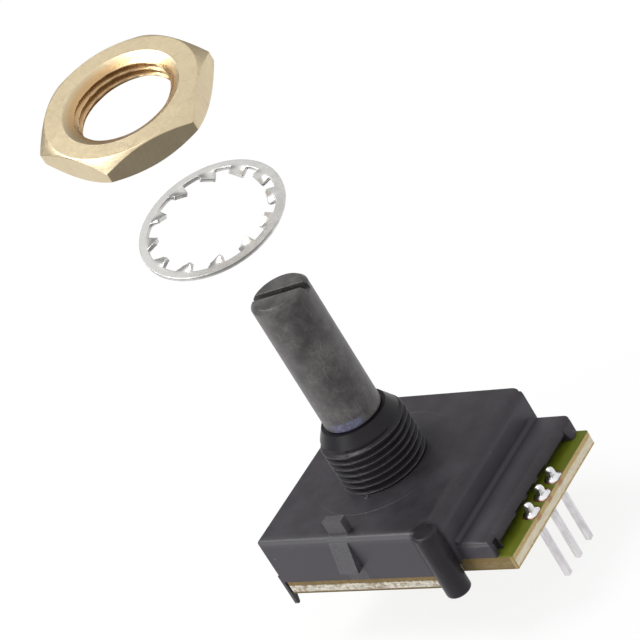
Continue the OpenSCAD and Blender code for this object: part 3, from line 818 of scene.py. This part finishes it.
class ENCODER_OT_terminals(Undoable, bpy.types.Operator):
    """Dress the three square terminals and flow solder round them"""

    bl_idname = "encoder.terminals"
    bl_label = "Terminals and solder"

    def execute(self, context):
        s = context.scene.encoder_terminals
        tin = metal_finish("Tinned terminal", s.tin, 0.72, 0.3, 3.0, 0.006, stretch=(6.0, 6.0, 0.35))
        solder = metal_finish("Bright solder", s.solder, 0.9, 0.26, 1.6, 0.006)
        for index, name in enumerate(("b", "common", "a")):
            keep_node("terminal_" + name, tin, FINE, 20)
            low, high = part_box("terminal_" + name)
            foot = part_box("solder_joint_" + name)[0].z / MM
            centre = ((low.x + high.x) / 2 / MM, (low.y + high.y) / 2 / MM)
            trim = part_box("pad_" + name)[1].x / MM - centre[0]
            fillet = self.fillet(s, centre, foot, high.z / MM, index, trim)
            joint = new_piece("solder_fillet_" + name, fillet, "base", solder, 80)
            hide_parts("solder_joint_" + name)
            collar = self.underside(centre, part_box("circuit_board")[0].z / MM, index)
            new_piece("solder_collar_" + name, collar, "base", solder, 80)
        return {"FINISHED"}

    def fillet(self, s, centre, foot, tip, seed, trim):
        """Solder drawn up the terminal and over its tip, round at the foot and squarish above.

        trim is how far it may run towards the board's cut edge."""
        wide, coat, rise = s.foot_radius / MM, s.coat / MM, tip - foot
        levels = [  # height, radius, squareness
            (0.0, wide, 2.0), (0.05, wide * 0.97, 2.0), (0.13, wide * 0.82, 2.0), (0.27, wide * 0.64, 2.2),
            (0.45, wide * 0.5, 2.7), (0.63, coat * 1.22, 3.5), (0.8, coat * 1.08, 5.0), (0.95, coat, 6.0),
            (rise - 0.2, coat * 0.97, 5.0), (rise - 0.06, coat * 0.82, 3.4), (rise + 0.02, coat * 0.52, 2.5),
            (rise + 0.05, coat * 0.18, 2.0),
        ]
        rings = []
        for height, size, square in levels:
            ring = []
            for turn in turns(48):
                c, d = cos(turn), sin(turn)
                reach = size / (abs(c) ** square + abs(d) ** square) ** (1 / square)
                near = max(0.0, 1 - height / 0.6)
                lump = noise.noise(Vector((c * 0.9, d * 0.9, height + 7.3 * seed)))
                reach *= 1 + near * (0.07 * lump + 0.05 * c)
                ring.append((centre[0] + min(reach * c, trim), centre[1] + reach * d, foot + height))
            rings.append(ring)
        return lofted(rings)

    def underside(self, centre, bottom, seed):
        """Low collar of solder where the terminal leaves the board's underside."""
        profile = ((-0.02, 0.78), (0.03, 0.78), (0.12, 0.67), (0.3, 0.54), (0.42, 0.47), (0.44, 0.40), (0.2, 0.36))
        rings = []
        for drop, size in profile:
            ring = []
            for turn in turns(40):
                wave = 1 + 0.04 * noise.noise(Vector(polar(1, turn, 3.1 * seed + drop)))
                ring.append(polar(size * wave, turn, bottom - drop, centre))
            rings.append(ring)
        return lofted(rings)


class ENCODER_OT_shaft(Undoable, bpy.types.Operator):
    """Dress the slotted shaft"""

    bl_idname = "encoder.shaft"
    bl_label = "Shaft"

    def execute(self, context):
        s = context.scene.encoder_shaft
        keep_node("shaft", shaft_finish(s), s.edge_radius, 28)
        return {"FINISHED"}


class ENCODER_OT_works(Undoable, bpy.types.Operator):
    """Dress the parts inside the housing: rotor, wiper, detent spring and thrust ring"""

    bl_idname = "encoder.works"
    bl_label = "Works"

    def execute(self, context):
        s = context.scene.encoder_works
        acetal = acetal_finish(s)
        spring = metal_finish("Rolled spring steel", s.spring, 0.7, 0.3, 3.0, 0.005, stretch=(4.0, 0.4, 4.0))
        gold = bpy.data.materials.get("Gold contact")
        if gold is None:
            raise RuntimeError("run the circuit board operator first: the wiper shares its gold")
        keep_node("rotor", acetal, FINE)
        keep_node("thrust_washer", acetal, 0.04 * MM)
        keep_node("detent_spring", spring, 0.02 * MM)
        keep_node("contact_wiper", gold)
        return {"FINISHED"}


class ENCODER_OT_lock_washer(Undoable, bpy.types.Operator):
    """Build the lock washer with its smoothly twisted inner teeth"""

    bl_idname = "encoder.lock_washer"
    bl_label = "Lock washer"

    def execute(self, context):
        s = context.scene.encoder_washer
        stand = hardware_matrix(context.scene.encoder_hardware)
        zinc = metal_finish("Bright zinc plate", s.zinc, 0.78, 0.3, 3.4, 0.008, (1.6, 1.6, 1.6), stand)
        mesh = made_mesh("tooth_washer", *self.sheet(s))
        washer = place_piece("tooth_washer", mesh, "loose_washer", zinc, 40, stand)
        thick = washer.modifiers.new("thickness", "SOLIDIFY")
        configured(thick, thickness=s.sheet, offset=0.0, use_even_offset=True)
        bevelled(washer, FINE, 50)
        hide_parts("lock_washer")
        return {"FINISHED"}

    def sheet(self, s):
        """Corners and quads of the sheet's middle: a ring, and teeth that start at its last row."""
        outer, inner = s.radius / MM, (s.radius - s.ring) / MM
        foot, tip = inner + 0.12, inner - s.tooth_reach / MM
        share, root_half, across, between = tau / s.teeth, 0.14, 8, 6
        gap = share - 2 * root_half
        rows = [  # radius, share of the tooth's full width
            (inner, 0.95), (inner - 0.12, 0.9), (inner - 0.3, 0.87), (inner - 0.5, 0.85), (inner - 0.7, 0.83),
            (tip + 0.06, 0.78), (tip, 0.6),
        ]
        verts, quads = [], []

        def corner(radius, turn, about=None):
            """Adds a corner. A tooth's corners turn about its own line, more towards its tip."""
            place = Vector(polar(radius, turn, 0.0))
            if about is not None:
                depth = min(1.0, max(0.0, (foot - radius) / (foot - tip)))
                twist = s.twist * depth * depth * (3 - 2 * depth)
                place = Matrix.Rotation(twist, 3, Vector(polar(1, about, 0))) @ place
            verts.append(place)
            return len(verts) - 1

        def join(upper, lower):
            quads.extend(zip(upper, upper[1:], lower[1:], lower))

        stops = []
        for tooth in range(s.teeth):
            middle = tooth * share
            stops += [middle - root_half + 2 * root_half * j / across for j in range(across)]
            stops += [middle + root_half + gap * j / between for j in range(between)]
        ring = [[corner(radius, turn) for turn in stops] for radius in (outer, outer - 0.06, (outer + inner) / 2, foot)]
        ring = [row + row[:1] for row in ring]
        for upper, lower in zip(ring, ring[1:]):
            join(upper, lower)
        starts, edges = [], []
        for tooth in range(s.teeth):
            middle, start = tooth * share, tooth * (across + between)
            above = ring[-1][start : start + across + 1]
            for radius, width in rows:
                half = root_half * width * inner / radius
                row = [corner(radius, middle + (2 * j / across - 1) * half, middle) for j in range(across + 1)]
                if radius == inner:
                    starts.append(row)
                join(above, row)
                above = row
            edges.append([corner(inner, middle + root_half + gap * j / between) for j in range(1, between)])
        # The ring's inner edge between each tooth and the next
        for tooth, edge in enumerate(edges):
            start = tooth * (across + between) + across
            after = starts[(tooth + 1) % s.teeth]
            join(ring[-1][start : start + between + 1], [starts[tooth][-1], *edge, after[0]])
        return verts, quads


class ENCODER_OT_hex_nut(Undoable, bpy.types.Operator):
    """Build the brass nut with its helical thread, countersinks and bevelled corners"""

    bl_idname = "encoder.hex_nut"
    bl_label = "Hex nut"

    def execute(self, context):
        s, hardware = context.scene.encoder_nut, context.scene.encoder_hardware
        stand = hardware_matrix(hardware, hardware.nut_gap, hardware.nut_aside, hardware.nut_turn)
        mesh = made_mesh("panel_nut", *self.skin(s))
        nut = place_piece("panel_nut", mesh, "loose_nut", brass_finish(s, stand), 16, stand)
        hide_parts("hex_nut")
        return {"FINISHED"}

    def skin(self, s):
        """Corners and faces swept round the axis: the outside, then the thread between two cones."""
        half, apothem = s.thickness / MM / 2, s.flats / MM / 2
        face, corner, bevel = 0.985 * apothem, 2 * apothem / sqrt(3) - 0.05, tan(radians(35))
        crest, deep, pitch = s.thread_radius / MM, s.thread_depth / MM, s.thread_pitch / MM
        sink, sink_depth = s.sink_radius / MM, s.sink_depth / MM
        levels = 72
        columns = []
        for turn in turns(288):
            reach = min(apothem / cos(turn % (pi / 3) - pi / 6), corner)
            edge = half - (reach - face) * bevel
            column = [
                (sink + 0.04, half), (face - 0.2, half), (face - 0.03, half), (face + 0.04, half - 0.025),
                (reach - 0.03, edge + 0.02), (reach, edge - 0.03),
            ]
            column += [(r, -z) for r, z in reversed(column)]
            for k in range(levels + 1):
                z = -half + 2 * half * k / levels
                lead = abs(2 * ((z - pitch * turn / tau) / pitch % 1.0) - 1)
                radius = crest + deep * (1 - min(1.0, max(0.0, (lead - 0.08) / 0.8)))
                cone = crest + (abs(z) - (half - sink_depth)) * (sink - crest) / sink_depth
                column.append((sink if k in (0, levels) else max(radius, cone), z))
            columns.append([polar(r, turn, z) for r, z in column])
        return lofted(list(zip(*columns)), loop=True)


class ENCODER_OT_stage(Undoable, bpy.types.Operator):
    """Lay the pale floor, light the room softly and set the camera"""

    bl_idname = "encoder.stage"
    bl_label = "Stage"

    def execute(self, context):
        scene = context.scene
        s = scene.encoder_stage
        scene.view_settings.view_transform = "Standard"
        self.floor(s)
        self.sky(scene, s)
        self.lamp("key_softbox", KEY_PLACE, KEY_SIZE, s.key_power)
        self.lamp("front_softbox", FRONT_PLACE, FRONT_SIZE, s.front_power)
        self.camera(scene, s)
        return {"FINISHED"}

    def floor(self, s):
        """A pale floor, white to the eye; in reflections it darkens towards the front right corner."""
        half, drop = 1.6, -s.floor_drop
        corners = [(-half, -half, drop), (half, -half, drop), (half, half, drop), (-half, half, drop)]
        mesh = bpy.data.meshes.new("floor")
        mesh.from_pydata(corners, [], [(0, 1, 2, 3)])
        floor = linked("floor", mesh)
        material = bpy.data.materials.new("Pale floor")
        tree = bare_tree(material)
        place, ray = put(tree, "TexCoord").outputs["Object"], put(tree, "LightPath").outputs
        matt = add("BsdfDiffuse", {"Color": blend(clouds(place, 40.0), s.floor, tinted(s.floor, 0.985))})
        nearer = vectors("DOT_PRODUCT", place, (0.727, -0.686, 0.0))
        shaded = times(ray["Is Glossy Ray"], fade(nearer, 0.012, 0.055, 0.0, 0.85))
        white = add("Emission", {"Color": (1, 1, 1, 1), "Strength": less(1.0, shaded)})
        seen = larger(ray["Is Camera Ray"], larger(ray["Is Glossy Ray"], ray["Is Transmission Ray"]))
        mix = add("MixShader", {0: times(seen, 0.85), 1: matt.outputs[0], 2: white.outputs[0]})
        add("OutputMaterial", {"Surface": mix.outputs[0]})
        mesh.materials.append(material)

    def sky(self, scene, s):
        """A white room for the eye, lit most from overhead; in reflections it is dark but overhead and at the right."""
        world = bpy.data.worlds.new("Soft room")
        tree = bare_tree(world)
        way, ray = put(tree, "TexCoord").outputs["Generated"], put(tree, "LightPath").outputs
        over = vectors("DOT_PRODUCT", way, Vector((0.1, -0.1, 0.99)).normalized())
        right = vectors("DOT_PRODUCT", way, Vector((0.9, 0.35, 0.2)).normalized())
        soft = times(fade(over, -0.4, 0.95, 0.45, 1.25), s.sky_strength)
        glossy = larger(fade(over, 0.3, 0.75, 0.35, 1.0), fade(right, 0.1, 0.6, 0.0, 0.95))
        level = add("Mix", {0: ray["Is Glossy Ray"], 2: soft, 3: glossy}).outputs[0]
        lit = add("Background", {"Color": (1, 1, 1, 1), "Strength": level})
        white = put(tree, "Background", {"Color": (1, 1, 1, 1), "Strength": 1.0})
        seen = larger(ray["Is Camera Ray"], ray["Is Transmission Ray"])
        mix = add("MixShader", {0: seen, 1: lit.outputs[0], 2: white.outputs[0]})
        add("OutputWorld", {"Surface": mix.outputs[0]})
        scene.world = world

    def lamp(self, name, place, size, power):
        """A round soft lamp that faces the part."""
        light = configured(bpy.data.lights.new(name, "AREA"), shape="DISK", size=size, energy=power)
        lamp = linked(name, light)
        lamp.location = place
        lamp.rotation_euler = (-place).to_track_quat("-Z", "Y").to_euler()

    def camera(self, scene, s):
        """Long lens from the front right, above, leaning so that the shaft runs up to the left."""
        lens = bpy.data.cameras.new("camera")
        configured(lens, lens=s.lens, sensor_width=36, sensor_fit="HORIZONTAL", clip_start=0.02, clip_end=20)
        camera = linked("camera", lens)
        camera.location = CAMERA_PLACE
        camera.rotation_mode = "QUATERNION"
        level = CAMERA_WAY.to_track_quat("-Z", "Y").to_matrix().to_4x4()
        camera.rotation_quaternion = (level @ Matrix.Rotation(CAMERA_LEAN, 4, "Z")).to_quaternion()
        scene.camera = camera


PIECES = (
    ENCODER_OT_housing, ENCODER_OT_board, ENCODER_OT_terminals, ENCODER_OT_shaft, ENCODER_OT_works,
    ENCODER_OT_lock_washer, ENCODER_OT_hex_nut, ENCODER_OT_stage,
)


class ENCODER_PT_parts(bpy.types.Panel):
    """Lists the encoder's operators and settings"""

    bl_label = "Rotary Encoder"
    bl_space_type = "VIEW_3D"
    bl_region_type = "UI"
    bl_category = "Encoder"

    def draw(self, context):
        for operator in PIECES:
            self.layout.operator(operator.bl_idname)
        for attribute, group in GROUPS.items():
            box = self.layout.box()
            box.label(text=group.__name__.replace("Encoder", ""))
            for key in group.__annotations__:
                box.prop(getattr(context.scene, attribute), key)


CLASSES = (*GROUPS.values(), *PIECES, ENCODER_PT_parts)


def register():
    for kind in CLASSES:
        bpy.utils.register_class(kind)
    for attribute, group in GROUPS.items():
        setattr(bpy.types.Scene, attribute, PointerProperty(type=group))


def unregister():
    for attribute in GROUPS:
        delattr(bpy.types.Scene, attribute)
    for kind in reversed(CLASSES):
        bpy.utils.unregister_class(kind)


def main():
    register()
    for operator in PIECES:
        family, name = operator.bl_idname.split(".")
        if getattr(getattr(bpy.ops, family), name)() != {"FINISHED"}:
            raise RuntimeError(f"{operator.bl_label} didn't finish")
    bpy.context.view_layer.update()
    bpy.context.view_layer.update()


if __name__ == "__main__":
    main()
